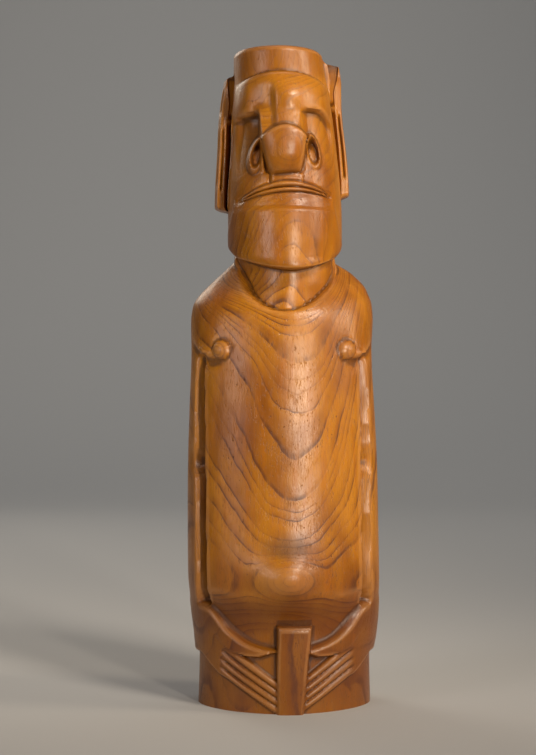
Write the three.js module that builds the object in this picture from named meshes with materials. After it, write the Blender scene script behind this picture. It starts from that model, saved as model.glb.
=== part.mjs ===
// A standing moai figure carved from one block of wood: long head with hanging ears, neck cut in
// under the chin, torso with the arms held close, hands meeting on either side of a loincloth strip,
// and a low ground under the hands that is sawn flat and serves as the foot.
//
// The figure is one closed surface. Every point of it is placed by an angle round the upright axis
// (0 is the front) and a level on the centre line. Plain cross-sections give the block, and each
// carved feature then raises or lowers it. The surface is cut into triangles that are small where the
// carving is fine and large where it is plain.
//
// Millimetres, +Z up, front facing -Y, origin in the middle of the flat underside.
import * as THREE from 'three';

// ---------- Driving dimensions ----------
const HEIGHT = 400;
const BAND_Z = 384.3; // lower edge of the plain band round the top of the head
const BROW_Z = 359.8; // lower edge of the brow
const NOSTRIL_Z = 333.8;
const MOUTH_Z = 313.2;
const CHIN_Z = 264.2; // lowest point of the chin, on the centre line
const NECKLINE_Z = 239.4;
const KNOB_Z = 216.6; // rolled ends of the shoulder masses
const ELBOW_Z = 149;
const NAVEL_Z = 81;
const LOINCLOTH_TOP_Z = 52.6;
const FACE_OFFSET = -1.7; // the carver set the face a little off the middle of the head
const FACE_TILT = 0.05; // its right side stands higher, by this slope
const CHIN_HALF = 35;
const MOUTH_HALF = 27;
const NOSTRIL_X = 17.6;
const NOSTRIL_HALF_WIDTH = 4.1;
const NOSTRIL_HALF_HEIGHT = 9;
const KNOB_X = 37.4;
const ARM_X = 50.9; // middle of the groove between torso and arm
const ARM_GROOVE_DEPTH = 9.5;
const FINGER_START_X = 9.4; // the fingers end beside the loincloth
const FINGER_Z = [18.6, 13.6, 8.7, 4]; // height of each finger at that end
const FINGER_SLOPE = [0.675, 0.665, 0.65, 0.64];
const FINGER_DEPTH = 2;
const EAR_LIFT = 4.2; // the right ear sits higher and the left ear lower by this much
const EAR_BAR_Z = 362.9; // the bar that closes the slot at the top of each ear
const EAR_FROM = THREE.MathUtils.degToRad(80); // the ears grow from the head between these angles
const EAR_TO = THREE.MathUtils.degToRad(124);

// ---------- Small helpers ----------
const clamp = (x, low = 0, high = 1) => Math.min(Math.max(x, low), high);
const mix = (a, b, t) => a + (b - a) * t;
const bell = (x, width) => Math.exp(-((x / width) ** 2));
const dome = (x) => Math.sqrt(clamp(1 - x * x));

function ramp(from, to, x) {
  const t = clamp((x - from) / (to - from));
  return t * t * (3 - 2 * t);
}

// A smooth line through stations [place, value] that never swings past them.
function curve(stations) {
  const at = stations.map((station) => station[0]);
  const value = stations.map((station) => station[1]);
  const last = at.length - 1;
  const gap = at.slice(1).map((place, i) => place - at[i]);
  const rise = gap.map((width, i) => (value[i + 1] - value[i]) / width);
  const slope = value.map((_, i) => {
    if (i === 0) return rise[0];
    if (i === last) return rise[last - 1];
    if (rise[i - 1] * rise[i] <= 0) return 0;
    const before = 2 * gap[i] + gap[i - 1];
    const after = gap[i] + 2 * gap[i - 1];
    return (before + after) / (before / rise[i - 1] + after / rise[i]);
  });
  return (place) => {
    const p = clamp(place, at[0], at[last]);
    let i = 0;
    while (i < last - 1 && p >= at[i + 1]) i += 1;
    const t = (p - at[i]) / gap[i];
    const u = 1 - t;
    const ends = value[i] * u * u * (1 + 2 * t) + value[i + 1] * t * t * (3 - 2 * t);
    return ends + gap[i] * t * u * (slope[i] * u - slope[i + 1] * t);
  };
}

// ---------- Cross-sections of the block ----------
// half: half width, front and back: depth from the axis, power: 2 is an ellipse, less is keeled.
const TORSO = {
  half: curve([[0, 53], [30, 53], [45, 54.5], [62, 58], [80, 59.2], [120, 59], [150, 58.5], [180, 57.3],
    [217, 55.8], [235, 56.3], [244, 55.4], [254, 50.2], [264, 40.5], [274, 28], [280, 24], [400, 24]]),
  front: curve([[0, 43], [30, 42], [45, 41], [56, 43], [64, 46.5], [74, 49.2], [86, 49.8], [105, 48.6],
    [130, 47.3], [160, 46.8], [200, 46], [225, 44.2], [238, 41.3], [247, 36.3], [258, 26.5], [270, 13],
    [280, 5], [400, 5]]),
  back: curve([[0, 40], [60, 41.5], [100, 40], [150, 38.5], [200, 39.5], [235, 38], [250, 34], [262, 30],
    [272, 26.5], [285, 24], [400, 24]]),
  power: curve([[0, 1.85], [40, 1.9], [70, 1.95], [200, 1.95], [240, 1.9], [256, 1.85], [400, 1.85]]),
  backPower: 2.2,
};
const LOW_BELLY = {
  half: curve([[0, 46], [45, 48.5], [62, 52], [80, 59.2], [400, 59.2]]),
  front: TORSO.front,
  back: TORSO.back,
  power: (z) => TORSO.power(z) + 0.1,
  backPower: 2.2,
};
const GROUND = {
  half: curve([[0, 53.2], [30, 52.6], [62, 52.6]]),
  front: curve([[0, 42.8], [62, 42.4]]),
  back: TORSO.back,
  power: () => 1.8,
  backPower: 2.2,
};
const HANDS = {
  half: curve([[0, 54.6], [28, 55], [40, 56.4], [62, 58.6], [80, 59.2]]),
  front: curve([[0, 44.6], [20, 45.2], [40, 46.4], [62, 48]]),
  back: TORSO.back,
  power: () => 1.85,
  backPower: 2.2,
};
const NECK = {
  half: curve([[230, 33], [250, 32.2], [265, 31.2], [280, 30.6], [400, 30.6]]),
  front: curve([[230, 40], [241, 38.6], [262, 36.6], [290, 36], [400, 36]]),
  back: curve([[230, 30], [262, 28], [275, 25.5], [300, 26], [400, 26]]),
  power: () => 1.75,
  backPower: 2.1,
};
const HEAD = {
  half: curve([[255, 34.2], [270, 34.8], [283, 35.2], [300, 35.2], [310, 34.8], [341, 32.3], [364, 30.6],
    [381, 29], [400, 27.1]]),
  front: curve([[255, 48.5], [275, 47.6], [299, 46], [302.5, 44], [306, 43.6], [312, 43.8], [318, 42.8],
    [330, 40.5], [345, 38.5], [362, 40.2], [368, 39.8], [374, 38.4], [379, 36.2], [382.4, 33.8],
    [384.3, 31.4], [400, 30.8]]),
  back: curve([[255, 24], [275, 25.5], [300, 28], [340, 30], [375, 29.5], [400, 27.5]]),
  power: curve([[255, 1.85], [300, 1.95], [320, 2.1], [362, 2.15], [384, 1.95], [400, 1.9]]),
  backPower: 2.6,
};
// How far the middle of the figure wanders from the upright axis.
const LEAN = curve([[0, 0.3], [30, 0.4], [45, 0.9], [60, 0.5], [80, -0.2], [150, -0.9], [217, -1.5],
  [242, -1], [250, 0], [258, 1.7], [264, 1.8], [272, 0], [284, 0.6], [300, 0.5], [341, 0], [364, -1.4],
  [381, -2.3], [400, -4]]);
// How far the carved lines have fallen (below 0) or risen at the sides of the front.
const SAG = curve([[0, 0], [200, 0], [239, 12], [252, 10.5], [264, 9], [268, 8], [300, -5], [309, -8.6],
  [317, -9], [323, -6], [346, 0], [400, 0]]);

function section(form, angle, z) {
  const across = Math.abs(Math.sin(angle));
  const ahead = Math.cos(angle);
  const depth = ahead > 0 ? form.front(z) : form.back(z);
  const power = ahead > 0 ? form.power(z) : form.backPower;
  return ((across / form.half(z)) ** power + (Math.abs(ahead) / depth) ** power) ** (-1 / power);
}

// ---------- Torso and arms ----------
function navel(x, z) {
  return 8.2 * bell(x - 0.5, 15.5) * bell(z - NAVEL_Z, 12.5);
}

// The shoulder masses end below in a rolled edge that curls into a knob.
function shoulderMass(across, z, ahead) {
  const turned = ramp(0.08, 0.55, ahead);
  const facing = ramp(0, 0.25, ahead);
  const edge = KNOB_Z - 4.2 + 10 * clamp((across - 43) / 12.2) ** 1.7;
  const above = z - edge;
  const mass = ramp(-1, 1.2, above) * Math.exp(-Math.max(above, 0) / 13) * ramp(33, 43.5, across);
  let relief = 2.6 * mass * turned * (1 - ramp(228, 246, z));
  relief += 1.3 * bell(above - 1.6, 1.7) * ramp(41, 45, across) * turned;
  const sideways = (across - KNOB_X) / 5.2;
  const upwards = (z - KNOB_Z) / 5.9;
  const fromKnob = Math.hypot(sideways, upwards);
  relief = Math.max(relief, 3.7 * dome(fromKnob) ** 1.3 * facing);
  relief -= 0.5 * bell(fromKnob - 1.12, 0.12) * ramp(0.1, 0.7, upwards - 0.5 * sideways) * facing;
  relief -= 1.3 * bell(above + 3.5, 3.5) * ramp(36, 44, across) * (1 - ramp(54, 58, across)) * facing;
  return relief;
}

// A deep groove parts each arm from the torso, with a small notch at the elbow.
function armGroove(across, side, z, ahead) {
  const notch = Math.max(0, 1 - Math.abs(z - ELBOW_Z) / 9.5);
  const middle = ARM_X - (side > 0 ? 1.8 : 0);
  const opening = mix(0.35, 1, ramp(214, 180, z));
  const out = across - middle;
  const torsoWall = ramp(-3, -2.1, out);
  const armEdge = 0.3 + 2.3 * opening + 2.2 * notch;
  const armWall = 1 - ramp(-0.9, 0.6, out - armEdge);
  const along = ramp(215, 209, z) * ramp(59, 64.5, z) * ramp(0.05, 0.2, ahead);
  const groove = ARM_GROOVE_DEPTH * mix(0.45, 1, opening) * (out < 0 ? torsoWall : armWall) * along;
  return -groove - 2 * notch * bell(out - 4, 3.2) * ramp(0, 0.25, ahead);
}

// Behind, a shallow line marks each arm and the spine.
function backLines(degrees, z) {
  const arm = 1.8 * bell(degrees - 122, 3.2) * ramp(232, 215, z) * ramp(30, 40, z);
  const spine = 1.3 * bell(degrees - 180, 5.5) * ramp(246, 225, z) * ramp(12, 40, z);
  return -arm - spine;
}

function torsoRadius(angle, side, degrees, z) {
  const ahead = Math.cos(angle);
  const facing = ramp(0, 0.25, ahead);
  let radius = section(TORSO, angle, z);
  const x = radius * Math.sin(angle);
  const across = Math.abs(x);
  radius += navel(x, z) * facing;
  radius += shoulderMass(across, z, ahead);
  radius += armGroove(across, side, z, ahead);
  radius += backLines(degrees, z);
  const belly = section(LOW_BELLY, angle, z) + navel(x, z) * facing;
  const below = (1 - ramp(70, 80, z)) * (1 - ramp(49.3, 51.3, across)) * facing;
  return mix(radius, Math.min(radius, belly), below);
}

// ---------- Hands ----------
// Upper edge of wrist and thumb, and lower edge of the thumb, by distance from the middle.
const HAND_CREST = curve([[0, 36.2], [9, 36.4], [15, 37.4], [20, 38.6], [27, 41.2], [34, 45.4], [38, 48.6],
  [42.4, 54], [46.7, 59], [52, 62.3], [60, 63.5]]);
const THUMB_UNDER = curve([[0, 37], [8, 36.7], [13, 35.5], [18.5, 33.8], [24, 33.6], [28, 34.4], [33, 35.9],
  [38, 38.8], [43, 45], [60, 60]]);

// 0 on the middle of the first finger, 3 on the middle of the last.
function fingerNumber(across, z) {
  const middle = FINGER_Z.map((height, i) => height + FINGER_SLOPE[i] * (across - FINGER_START_X));
  if (z > middle[1]) return (middle[0] - z) / (middle[0] - middle[1]);
  if (z > middle[2]) return 1 + (middle[1] - z) / (middle[1] - middle[2]);
  return 2 + (middle[2] - z) / (middle[2] - middle[3]);
}

function handRadius(angle, side, z, torso) {
  const ground = section(GROUND, angle, z);
  const hand = section(HANDS, angle, z);
  const across = Math.abs(hand * Math.sin(angle));
  const finger = fingerNumber(across, z);
  const onFingers = ramp(-0.62, -0.4, finger) * (1 - ramp(3.42, 3.66, finger));
  const rounding = 1 - Math.sqrt(Math.abs(Math.cos(Math.PI * finger)));
  const knuckles = 1 - ramp(37, 43, across - 2.6 * finger);
  let radius = mix(ground, hand - FINGER_DEPTH * rounding * knuckles, onFingers);
  const spread = across - FINGER_START_X;
  const lowEdge = FINGER_Z[3] - 2.5 + (FINGER_SLOPE[3] - 0.015) * spread + 4.4 * ramp(40, 54, across);
  const palm = mix(ground, hand, ramp(-0.8, 0.8, z - Math.min(lowEdge, 32.5)));
  radius = mix(radius, palm, ramp(37, 42, across));
  const thumb = ramp(-0.7, 0.7, z - THUMB_UNDER(across)) * (1 - ramp(41, 47, across));
  radius = mix(radius, hand + 0.3, thumb);
  const crest = HAND_CREST(across) + (side > 0 ? 0.6 : 0);
  const slope = 4.2 + (side > 0 ? 3.3 : 0.8) * bell(across - 39, 6);
  return mix(radius, torso, ramp(0, 1, (z - crest + 0.6) / slope));
}

// Beside and behind the hands the block is stepped in above the foot.
function footRadius(angle, degrees, z, torso) {
  const stepped = mix(section(GROUND, angle, z), section(HANDS, angle, z), ramp(31.5, 33.5, z));
  const radius = mix(stepped, section(GROUND, angle, z), ramp(112, 130, degrees));
  return mix(radius, torso, ramp(58, 70, z));
}

// A raised strip hangs between the hands. It only comes forward, so its sides stay upright.
function loincloth(x, z, depth, facing) {
  const up = z / LOINCLOTH_TOP_Z;
  const half = mix(8, 10.3, up);
  const out = Math.abs(x - mix(1.3, 3.3, up));
  const inside = (1 - ramp(half - 0.5, half + 0.5, out)) * (1 - ramp(-1, 0.2, z - LOINCLOTH_TOP_Z)) * facing;
  const fromTop = clamp((z - LOINCLOTH_TOP_Z + 3.4) / 3.4);
  const face = mix(45.8, 49.2, up) - 0.01 * out ** 2 - 2.6 * (1 - dome(fromTop)) - 0.9 * bell(out - half, 1);
  return inside * (face - depth);
}

// ---------- Neck ----------
function neckedRadius(angle, degrees, z, body) {
  const ahead = Math.cos(angle);
  const plain = section(NECK, angle, z);
  const neck = plain - 0.1 * Math.max(-plain * Math.sin(angle) - 8.5, 0) * clamp(ahead);
  const across = Math.abs(neck * Math.sin(angle));
  const swoop = 0.0222 * across ** 2 + 1.28e-5 * across ** 4 + 5 * clamp((across - 27.4) / 2.2) ** 2;
  const steepness = Math.hypot(1, 0.0444 * across + 5.12e-5 * across ** 3);
  const past = (z - NECKLINE_Z - swoop) / steepness;
  const behind = ramp(92, 125, degrees);
  if (z < 236) return body;
  const collar = Math.max(body, neck + 1.5 * ramp(0.02, 0.3, ahead));
  const crack = mix(0.9, 0.5, ramp(-6, 12, neck * Math.sin(angle))) * ramp(-0.1, 0.2, ahead);
  const cut = mix(collar, neck, ramp(-0.7, 0.7, past)) - crack * bell(past - 0.8, 0.7);
  const nape = Math.max(neck, mix(body, neck, ramp(244, 272, z)));
  return mix(cut, nape, behind);
}

// ---------- Head ----------
function chinEdge(x) {
  const across = Math.min(Math.abs(x), CHIN_HALF);
  return CHIN_Z + 6.6 * (across / 28) ** 2 + 4.5 * clamp((across - 28) / 7) ** 2;
}

// Broad, flat sockets, cut in under the brow and rising to the cheek below. The right one is rounded at
// its outer corner.
function eyeSocket(x, z, flank) {
  const rightward = ramp(-10, 10, x);
  const fromBrow = BROW_Z + FACE_TILT * x - z;
  const fromSide = mix(30.6, 29.6, rightward) - Math.abs(x);
  const corner = mix(3.5, 12, rightward);
  const inside = corner - Math.hypot(Math.max(corner - fromBrow, 0), Math.max(corner - fromSide, 0));
  const deepest = mix(5.8, 4.6, rightward) + 2 * bell(x + 19.5, 4.5);
  const depth = deepest * (1 - clamp(fromBrow / 40)) ** 1.25;
  return depth * ramp(-0.8, 2.2, inside) * flank;
}

const BRIDGE_FRONT = curve([[330, 45.2], [345, 45.4], [350, 44.2], [355, 43.4], [362, 42.4], [370, 40.6]]);
const NOSE_HALF = curve([[320, 9.2], [326, 10.6], [332, 12.2], [338, 13.5], [343, 15], [350, 17]]);
const NOSE_FRONT = curve([[320.5, 44.6], [322.5, 47], [326, 49.6], [332, 51.8], [338, 52.4], [344, 51.9],
  [350, 50.4]]);

// The ball of the nose under an arched hood, which runs out on each side into a thin rim that curls
// round a nostril.
function nose(x, straightZ, start, flank, besideBridge) {
  const off = x - FACE_OFFSET;
  const z = straightZ - FACE_TILT * off;
  const across = Math.abs(off);
  const bridge = BRIDGE_FRONT(z) - 0.012 * besideBridge ** 2;
  let depth = mix(start, Math.max(bridge, start), (1 - flank) * (1 - ramp(356, 366, z)) * ramp(322, 332, z));
  // The left side of the bridge steps back, from the forehead down to the hood.
  depth -= 3.2 * ramp(-4.2, -9, x) * ramp(-30, -13, x) * ramp(380, 368, z) * ramp(344, 355, z);
  const arch = 349.6 - 0.033 * Math.min(across, 17) ** 2;
  const out = across / NOSE_HALF(z);
  const ball = NOSE_FRONT(z) - 0.022 * off ** 2 - 4.6 * (1 - Math.sqrt(1 - clamp(out) ** 4));
  const onBall = (1 - ramp(0.9, 1.02, out)) * ramp(0.9, -0.9, z - arch) * ramp(320.4, 322.8, z);
  const upwards = (z - NOSTRIL_Z) / NOSTRIL_HALF_HEIGHT;
  const sideways = (across - NOSTRIL_X + 0.9 * clamp(upwards, -1, 1)) / NOSTRIL_HALF_WIDTH;
  const fromNostril = Math.hypot(sideways, upwards);
  const turn = THREE.MathUtils.radToDeg(Math.atan2(upwards, sideways));
  const hood = ramp(10, 80, turn) * (1 - ramp(130, 178, turn));
  const rim = 37 - 2 * clamp(sideways, -1, 1) + 6 * hood;
  const wing = 1 - ramp(0.98, 1.36, fromNostril);
  depth = mix(depth, Math.max(depth, rim), wing * (1 - onBall));
  const hollow = 1 - ramp(0.6, 0.98, fromNostril);
  depth = mix(depth, 33.2 - 2.2 * sideways - 1.4 * upwards, hollow * (1 - onBall));
  const crackHalf = mix(1.3, 0.4, ramp(322, 338, z));
  const crack = bell(across - NOSE_HALF(z) - 0.3 - crackHalf / 2, crackHalf) * ramp(321, 324, z);
  const crackDepth = mix(3.2, 1, ramp(-8, 8, off)) * (1 - ramp(334, 340, z));
  return mix(depth - crackDepth * crack * (1 - onBall), ball, onBall);
}

// Thin, downturned lips that close to a drilled corner on each side.
function mouth(x, straightZ) {
  const off = Math.abs(x - FACE_OFFSET);
  const z = straightZ - FACE_TILT * (x - FACE_OFFSET);
  const bend = (off / 28) ** 2;
  const top = MOUTH_Z + 3.3 - 9 * bend;
  const gap = MOUTH_Z - 6.2 * bend;
  const bottom = MOUTH_Z - 2.8 - 3.9 * bend;
  const upper = dome((z - (top + gap) / 2) / Math.max((top - gap) / 2, 0.5));
  const lower = dome((z - (gap + bottom) / 2) / Math.max((gap - bottom) / 2, 0.5));
  const lines = bell(z - gap, 0.55) + 0.8 * bell(z - top - 0.6, 0.7) + 0.5 * bell(z - bottom + 0.4, 0.6);
  const corner = bell(Math.hypot((off - MOUTH_HALF + 0.4) / 2, (z - MOUTH_Z + 5.6) / 2.3), 1);
  const lips = (1.9 * upper + 1.7 * lower - lines) * (1 - ramp(MOUTH_HALF - 3, MOUTH_HALF + 0.5, off));
  return lips - 1.9 * corner;
}

function philtrum(x, z) {
  const panel = (1 - ramp(9.2, 10.4, Math.abs(x + 0.9))) * ramp(312, 317, z) * (1 - ramp(320.5, 322.5, z));
  const crack = bell(x + 10.6, 0.8) * ramp(315, 317, z) * (1 - ramp(322, 325, z));
  return 1.3 * panel - 1.6 * crack;
}

// Radius of the head, and how far the face then stands forward of it.
function headForm(angle, z) {
  const ahead = Math.cos(angle);
  const facing = ramp(0, 0.25, ahead);
  const bow = 8.2 * Math.min(Math.abs(HEAD.half(z) * Math.sin(angle)) / 30, 1) ** 2;
  const foreheadZ = z + bow * ramp(360, 378, z);
  const form = { ...HEAD, front: () => HEAD.front(foreheadZ) };
  const plain = section(form, angle, z);
  const x = plain * Math.sin(angle);
  const across = Math.abs(x);
  const edge = ahead < 0 ? chinEdge(CHIN_HALF) : chinEdge(x);
  let relief = -1.3 * Math.exp(-clamp((z - edge) / 1.3, 0, 9));
  const ledge = (1 - ramp(-0.6, 0.2, foreheadZ - BAND_Z)) * ramp(340, 380, z);
  relief += 1.9 * ledge * (1 - ramp(20, 30, across)) * facing;
  const off = Math.abs(x - FACE_OFFSET);
  const chinSide = 30 + 6 * clamp((306 - z) / 24) ** 1.3;
  const chin = (1 - ramp(chinSide - 1.2, chinSide + 1.2, off)) * ramp(262, 266, z) * (1 - ramp(303, 309, z));
  relief += 0.9 * chin * facing;
  const fromBridge = x + 3.2;
  const besideBridge = Math.abs(fromBridge);
  const flank = fromBridge < 0 ? ramp(11.5, 15.5, besideBridge) : ramp(8, 18, besideBridge);
  relief -= eyeSocket(x, z, flank) * facing;
  relief += 1.6 * bell(x - 2, 8) * ramp(379, 366, z) * ramp(352, 362, z) * facing;
  const radius = plain + relief;
  const start = radius * ahead;
  let depth = nose(x, z, start, flank, besideBridge);
  depth += (philtrum(x, z) + mouth(x, z)) * facing;
  const forward = (depth - start) * ramp(0.1, 0.25, ahead);
  return { radius, forward, edge };
}

// ---------- Ears ----------
const EAR_OUT = curve([[300, 41.3], [312, 41.2], [345, 39.2], [368, 37.2], [394, 35]]);
const EAR_RIM = curve([[300, 5], [330, 4.8], [362, 4.3], [372, 4.6], [382, 2.6], [388, 1.2], [394, 0.8]]);
// How far both ears stand to the right of the head's leaning middle.
const EAR_SHIFT = curve([[300, -1], [350, -1], [366, -0.2], [378, 1], [386, 2.2], [400, 2.6]]);

// Seen from above, the skin of the head folds into a slot, round the front edge of the ear and back
// along its outer face. fold runs from 0 in front of the slot to 1 behind the ear.
function earPoint(fold, z, levelZ) {
  const out = EAR_OUT(levelZ);
  const rimIn = out - EAR_RIM(levelZ);
  const slot = HEAD.half(z) - 0.9;
  const shallow = ramp(363, 369, levelZ);
  const start = section(HEAD, EAR_FROM, z);
  const end = section(HEAD, EAR_TO, z);
  const corners = [
    [0, start * Math.sin(EAR_FROM), start * Math.cos(EAR_FROM)],
    [2, slot - 0.4, mix(-7.5, -2, shallow)],
    [3, slot + 0.5, mix(-9.4, -3.4, shallow)],
    [5, rimIn - 0.2, -3],
    [6, rimIn + 0.35, -2],
    [10, out - 0.4, -2.8],
    [13, out + 1.1, -13.5],
    [14, out + 0.3, -15.4],
    [16, end * Math.sin(EAR_TO), end * Math.cos(EAR_TO)],
  ];
  let i = 0;
  while (i < corners.length - 2 && fold * 16 > corners[i + 1][0]) i += 1;
  const [from, fromX, fromDepth] = corners[i];
  const [to, toX, toDepth] = corners[i + 1];
  const t = (fold * 16 - from) / (to - from);
  let x = mix(fromX, toX, t);
  let depth = mix(fromDepth, toDepth, t);
  const onEdge = ramp(0.38, 0.42, fold) * (1 - ramp(0.58, 0.62, fold));
  depth -= 2 * onEdge * bell(fold - 0.5, 0.04) * ramp(319, 322, levelZ) * (1 - ramp(356, 361, levelZ));
  const bar = bell(levelZ - EAR_BAR_Z, 1.7) * ramp(0.02, 0.1, fold) * (1 - ramp(0.4, 0.48, fold));
  depth = mix(depth, -0.8 - 2 * fold, bar);
  const onFace = ramp(0.64, 0.68, fold) * (1 - ramp(0.77, 0.81, fold));
  const flute = ramp(321, 326, levelZ) * (1 - ramp(355, 360, levelZ)) * bell(fold - 0.72, 0.035);
  const shell = 1 - ramp(0.7, 1, Math.hypot((fold - 0.72) / 0.08, (levelZ - 376) / 9.5));
  x -= 1.3 * onFace * (flute + shell);
  return { x, depth };
}

// ---------- The whole surface ----------
function surface(angle, fold, level) {
  const side = Math.sin(angle) < 0 ? -1 : 1;
  const ahead = Math.cos(angle);
  const facing = ramp(0, 0.25, ahead);
  const degrees = Math.abs(THREE.MathUtils.radToDeg(angle));
  const reach = ahead < 0 ? CHIN_HALF : CHIN_HALF * Math.abs(Math.sin(angle));
  const z = clamp(level + SAG(level) * (reach / 28) ** 2 * ramp(-1, -0.3, ahead), 0, HEIGHT);

  let radius = torsoRadius(angle, side, degrees, z);
  if (z < 72) {
    const low = ahead > 0 ? handRadius(angle, side, z, radius) : footRadius(angle, degrees, z, radius);
    radius = mix(low, radius, ramp(66, 72, z));
  }
  let forward = loincloth(radius * Math.sin(angle), z, radius * ahead, facing);
  radius = neckedRadius(angle, degrees, z, radius);
  if (z > 262) {
    const head = headForm(angle, z);
    const on = ramp(-0.6, 0.6, z - head.edge);
    const nape = mix(radius, head.radius, ramp(262, 292, z));
    const jaw = z > head.edge - 3 ? mix(radius, head.radius, on) : radius;
    radius = mix(jaw, nape, ahead < 0 ? ramp(115, 150, degrees) : 0);
    forward += on * head.forward;
  }
  let x = radius * Math.sin(angle);
  let depth = radius * ahead + forward;

  const levelZ = z - EAR_LIFT * side;
  if (fold !== null && levelZ > 305 && levelZ < 392) {
    const ear = earPoint(fold, z, levelZ);
    const lobe = dome(1 - clamp((levelZ - 307) / 3.6));
    const grown = lobe * (1 - ramp(389.6, 391.4, levelZ));
    x = mix(x, side * ear.x + EAR_SHIFT(z), grown);
    depth = mix(depth, ear.depth, grown);
  }
  const topEdge = 1 - 0.05 * (1 - dome(clamp((z - 398.6) / 1.4)));
  return new THREE.Vector3(x * topEdge + LEAN(z), -depth * topEdge, z);
}

// ---------- Cutting the surface into triangles ----------
// A fine lattice is laid over the surface: COLUMNS round it, ROWS up it, closer where the work is fine.
const FRONT_COLUMNS = 64;
const EAR_COLUMNS = 32;
const BACK_COLUMNS = 32;
const HALF_ROUND = FRONT_COLUMNS + EAR_COLUMNS + BACK_COLUMNS;
const COLUMNS = 2 * HALF_ROUND;
const ROWS = 400;
const LEVEL = curve([[0, 0], [96, 64], [160, 205], [200, 240], [224, 260], [248, 270], [280, 300], [312, 320],
  [352, 352], [384, 384], [400, 400]]);
const LARGEST_CELL = 16; // lattice steps
const SMALLEST_CELL = 2;
const TOLERANCE = 8; // how far a flat cell may miss the surface, in mm, times its size in lattice steps

function latticePoint(column, row) {
  const around = column - HALF_ROUND;
  const out = Math.abs(around);
  const side = around < 0 ? -1 : 1;
  if (out < FRONT_COLUMNS) return surface(side * EAR_FROM * (out / FRONT_COLUMNS), null, LEVEL(row));
  const fold = (out - FRONT_COLUMNS) / EAR_COLUMNS;
  if (fold <= 1) return surface(side * mix(EAR_FROM, EAR_TO, fold), fold, LEVEL(row));
  const rest = (out - FRONT_COLUMNS - EAR_COLUMNS) / BACK_COLUMNS;
  return surface(side * mix(EAR_TO, Math.PI, rest), null, LEVEL(row));
}

const lattice = [];
for (let row = 0; row <= ROWS; row += 1) {
  for (let column = 0; column < COLUMNS; column += 1) lattice.push(latticePoint(column, row));
}
const pointAt = (column, row) => lattice[row * COLUMNS + (column % COLUMNS)];

// Square cells of lattice steps; each lattice step knows the size of the cell that it lies in.
const cellSize = new Uint8Array(COLUMNS * ROWS).fill(LARGEST_CELL);
const sizeAt = (column, row) => cellSize[row * COLUMNS + ((column + COLUMNS) % COLUMNS)];

function* cells() {
  for (let row = 0; row < ROWS; row += SMALLEST_CELL) {
    for (let column = 0; column < COLUMNS; column += SMALLEST_CELL) {
      const size = sizeAt(column, row);
      if (row % size === 0 && column % size === 0) yield { column, row, size };
    }
  }
}

function quarter({ column, row, size }) {
  for (let r = row; r < row + size; r += 1) {
    cellSize.fill(size / 2, r * COLUMNS + column, r * COLUMNS + column + size);
  }
}

function missesSurface({ column, row, size }) {
  const [a, b] = [pointAt(column, row), pointAt(column + size, row)];
  const [c, d] = [pointAt(column, row + size), pointAt(column + size, row + size)];
  const flat = new THREE.Vector3();
  const upper = new THREE.Vector3();
  const step = Math.max(size / 4, 1);
  const allowed = TOLERANCE / size;
  for (let r = 0; r <= size; r += step) {
    for (let k = 0; k <= size; k += step) {
      flat.lerpVectors(a, b, k / size);
      upper.lerpVectors(c, d, k / size);
      flat.lerp(upper, r / size);
      if (flat.distanceTo(pointAt(column + k, row + r)) > allowed) return true;
    }
  }
  return false;
}

// Neighbours across an edge may differ by one halving only.
function nextToMuchFiner({ column, row, size }) {
  for (let k = 0; k < size; k += SMALLEST_CELL) {
    if (sizeAt(column - 1, row + k) < size / 2 || sizeAt(column + size, row + k) < size / 2) return true;
    if (row > 0 && sizeAt(column + k, row - 1) < size / 2) return true;
    if (row + size < ROWS && sizeAt(column + k, row + size) < size / 2) return true;
  }
  return false;
}

function refineWhere(test) {
  let again = true;
  while (again) {
    const chosen = [...cells()].filter((cell) => cell.size > SMALLEST_CELL && test(cell));
    chosen.forEach(quarter);
    again = chosen.length > 0;
  }
}

refineWhere(missesSurface);
refineWhere(nextToMuchFiner);

const positions = [];
const triangles = [];
const vertexOf = new Map();

function vertex(column, row) {
  const key = row * COLUMNS + (column % COLUMNS);
  if (!vertexOf.has(key)) {
    vertexOf.set(key, positions.length / 3);
    positions.push(...lattice[key].toArray());
  }
  return vertexOf.get(key);
}

// The rim of a cell, with a middle point on each edge whose neighbour is finer.
function fillCell({ column, row, size }) {
  const half = size / 2;
  const far = { column: column + size, row: row + size };
  const rim = [[column, row]];
  if (row > 0 && sizeAt(column, row - 1) < size) rim.push([column + half, row]);
  rim.push([far.column, row]);
  if (sizeAt(far.column, row) < size) rim.push([far.column, row + half]);
  rim.push([far.column, far.row]);
  if (far.row < ROWS && sizeAt(column, far.row) < size) rim.push([column + half, far.row]);
  rim.push([column, far.row]);
  if (sizeAt(column - 1, row) < size) rim.push([column, row + half]);
  const isMiddle = ([c, r]) => (c - column) % size !== 0 || (r - row) % size !== 0;
  let start = rim.findIndex(isMiddle);
  if (start < 0) start = straighterDiagonal(column, row, size);
  const ring = [...rim.slice(start), ...rim.slice(0, start)].map(([c, r]) => vertex(c, r));
  for (let i = 1; i < ring.length - 1; i += 1) triangles.push(ring[0], ring[i], ring[i + 1]);
}

// A plain cell is split along the diagonal that lies nearer to the surface: from corner 0 or 1.
function straighterDiagonal(column, row, size) {
  const middle = pointAt(column + size / 2, row + size / 2);
  const rising = pointAt(column, row).clone().lerp(pointAt(column + size, row + size), 0.5);
  const falling = pointAt(column + size, row).clone().lerp(pointAt(column, row + size), 0.5);
  return rising.distanceTo(middle) <= falling.distanceTo(middle) ? 0 : 1;
}

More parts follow.
